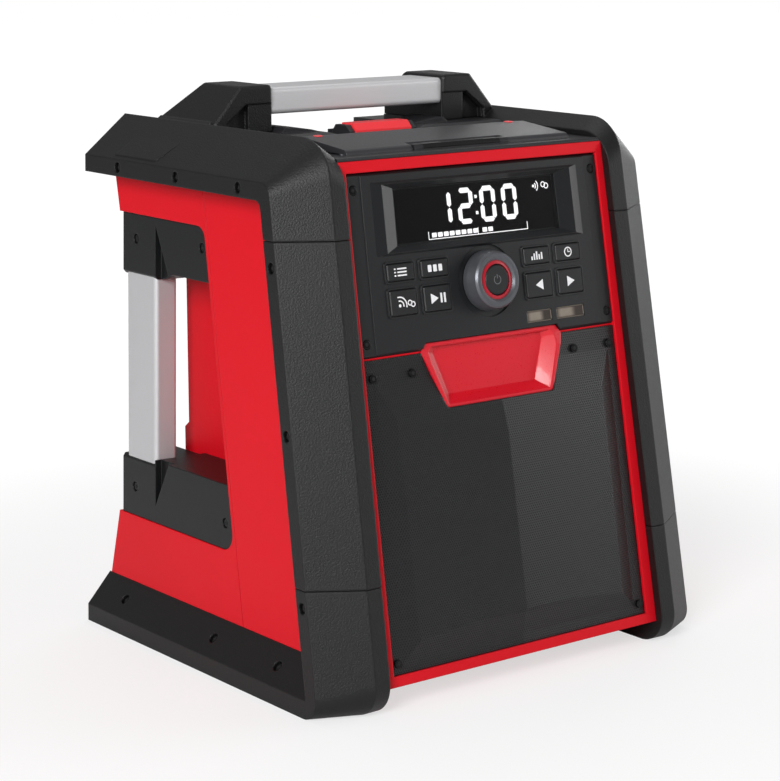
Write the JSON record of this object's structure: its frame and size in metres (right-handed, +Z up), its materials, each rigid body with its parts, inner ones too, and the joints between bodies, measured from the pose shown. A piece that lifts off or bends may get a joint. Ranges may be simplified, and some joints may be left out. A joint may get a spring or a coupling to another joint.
{
  "type": "jobsite radio",
  "caption": "Rugged tabletop radio: leaning red housing, black side guards, metal carry and grip tubes, keypad with knob and display, wide grille, storage lid with latch.",
  "frame": {"origin": "centre of the bounding box at floor level", "axes": "+X to the right seen from the front, +Y to the rear, +Z up; the control panel faces -Y"},
  "size_m": [0.32, 0.2904, 0.3766],
  "materials": {
    "red_shell": "satin gloss red housing plastic",
    "guard_black": "fine grained black guard plastic",
    "bracket_black": "satin black plastic",
    "deck_black": "grained black top deck",
    "panel_black": "satin black control panel",
    "tube_aluminium": "satin anodised tube",
    "grille_black": "black perforated sheet",
    "dish_red": "gloss red dish",
    "latch_red": "satin red latch",
    "button_rubber": "soft grey black keys",
    "knob_black": "dark knob plastic",
    "ring_red": "red ring",
    "display_glass": "smoked display window",
    "display_dark": "dark display module",
    "indicator_lens": "clear indicator lens",
    "screw_black": "black screw",
    "pin_steel": "steel pin",
    "board_green": "circuit board",
    "inner_black": "moulded inner part",
    "speaker_dark": "loudspeaker"
  },
  "bodies": {
    "radio": {"front_housing": "red_shell", "rear_housing": "red_shell", "left_top_guard": "guard_black", "left_front_guard": "guard_black", "left_bottom_guard": "guard_black", "left_upper_bracket": "bracket_black", "left_lower_bracket": "bracket_black", "left_guard_tube": "tube_aluminium", "left_guard_screws": "screw_black", "left_bracket_screws": "screw_black", "left_speaker": "speaker_dark", "right_top_guard": "guard_black", "right_front_guard": "guard_black", "right_bottom_guard": "guard_black", "right_upper_bracket": "bracket_black", "right_lower_bracket": "bracket_black", "right_guard_tube": "tube_aluminium", "right_guard_screws": "screw_black", "right_bracket_screws": "screw_black", "right_speaker": "speaker_dark", "carry_handle_tube": "tube_aluminium", "top_deck": "deck_black", "lid_hinge_pin": "pin_steel", "latch_pin": "pin_steel", "usb_socket": "inner_black", "audio_jack": "inner_black", "control_panel": "panel_black", "display_window": "display_glass", "lcd_module": "display_dark", "knob_encoder": "inner_black", "speaker_grille": "grille_black", "nameplate_dish": "dish_red", "speaker_baffle": "inner_black", "control_board": "board_green", "main_board": "board_green", "charger_supply": "inner_black", "battery_dock": "inner_black", "dock_contacts": "inner_black", "ac_inlet": "inner_black", "panel_screws": "screw_black", "grille_screws": "screw_black", "indicator_left": "indicator_lens", "indicator_right": "indicator_lens"},
    "lid": {"compartment_lid": "deck_black"},
    "latch": {"latch_lever": "latch_red"},
    "knob": {"volume_knob": "knob_black", "knob_ring": "ring_red"},
    "power_key": {"power_button": "button_rubber"},
    "key_mode": {"button_mode": "button_rubber"},
    "key_preset": {"button_preset": "button_rubber"},
    "key_wireless": {"button_wireless": "button_rubber"},
    "key_play": {"button_play": "button_rubber"},
    "key_tone": {"button_tone": "button_rubber"},
    "key_clock": {"button_clock": "button_rubber"},
    "key_back": {"button_back": "button_rubber"},
    "key_forward": {"button_forward": "button_rubber"}
  },
  "joints": [
    {"name": "lid_hinge", "type": "hinge", "parent": "radio", "child": "lid", "pos_m": [0, -0.066, 0.3395], "axis": [1, 0, 0], "range_deg": [0, 100]},
    {"name": "latch_hinge", "type": "hinge", "parent": "radio", "child": "latch", "pos_m": [0, 0.027, 0.3436], "axis": [-1, 0, 0], "range_deg": [0, 70]},
    {"name": "knob_turn", "type": "hinge", "parent": "radio", "child": "knob", "pos_m": [0, -0.10054, 0.25703], "axis": [0, -0.9848, 0.1738], "continuous": true},
    {"name": "power_push", "type": "slide", "parent": "radio", "child": "power_key", "axis": [0, 0.9848, -0.1738], "range_m": [0, 0.0012], "stiffness_N_per_m": 600},
    {"name": "mode_push", "type": "slide", "parent": "radio", "child": "key_mode", "axis": [0, 0.9848, -0.1738], "range_m": [0, 0.001], "stiffness_N_per_m": 600},
    {"name": "preset_push", "type": "slide", "parent": "radio", "child": "key_preset", "axis": [0, 0.9848, -0.1738], "range_m": [0, 0.001], "stiffness_N_per_m": 600},
    {"name": "wireless_push", "type": "slide", "parent": "radio", "child": "key_wireless", "axis": [0, 0.9848, -0.1738], "range_m": [0, 0.001], "stiffness_N_per_m": 600},
    {"name": "play_push", "type": "slide", "parent": "radio", "child": "key_play", "axis": [0, 0.9848, -0.1738], "range_m": [0, 0.001], "stiffness_N_per_m": 600},
    {"name": "tone_push", "type": "slide", "parent": "radio", "child": "key_tone", "axis": [0, 0.9848, -0.1738], "range_m": [0, 0.001], "stiffness_N_per_m": 600},
    {"name": "clock_push", "type": "slide", "parent": "radio", "child": "key_clock", "axis": [0, 0.9848, -0.1738], "range_m": [0, 0.001], "stiffness_N_per_m": 600},
    {"name": "back_push", "type": "slide", "parent": "radio", "child": "key_back", "axis": [0, 0.9848, -0.1738], "range_m": [0, 0.001], "stiffness_N_per_m": 600},
    {"name": "forward_push", "type": "slide", "parent": "radio", "child": "key_forward", "axis": [0, 0.9848, -0.1738], "range_m": [0, 0.001], "stiffness_N_per_m": 600}
  ]
}
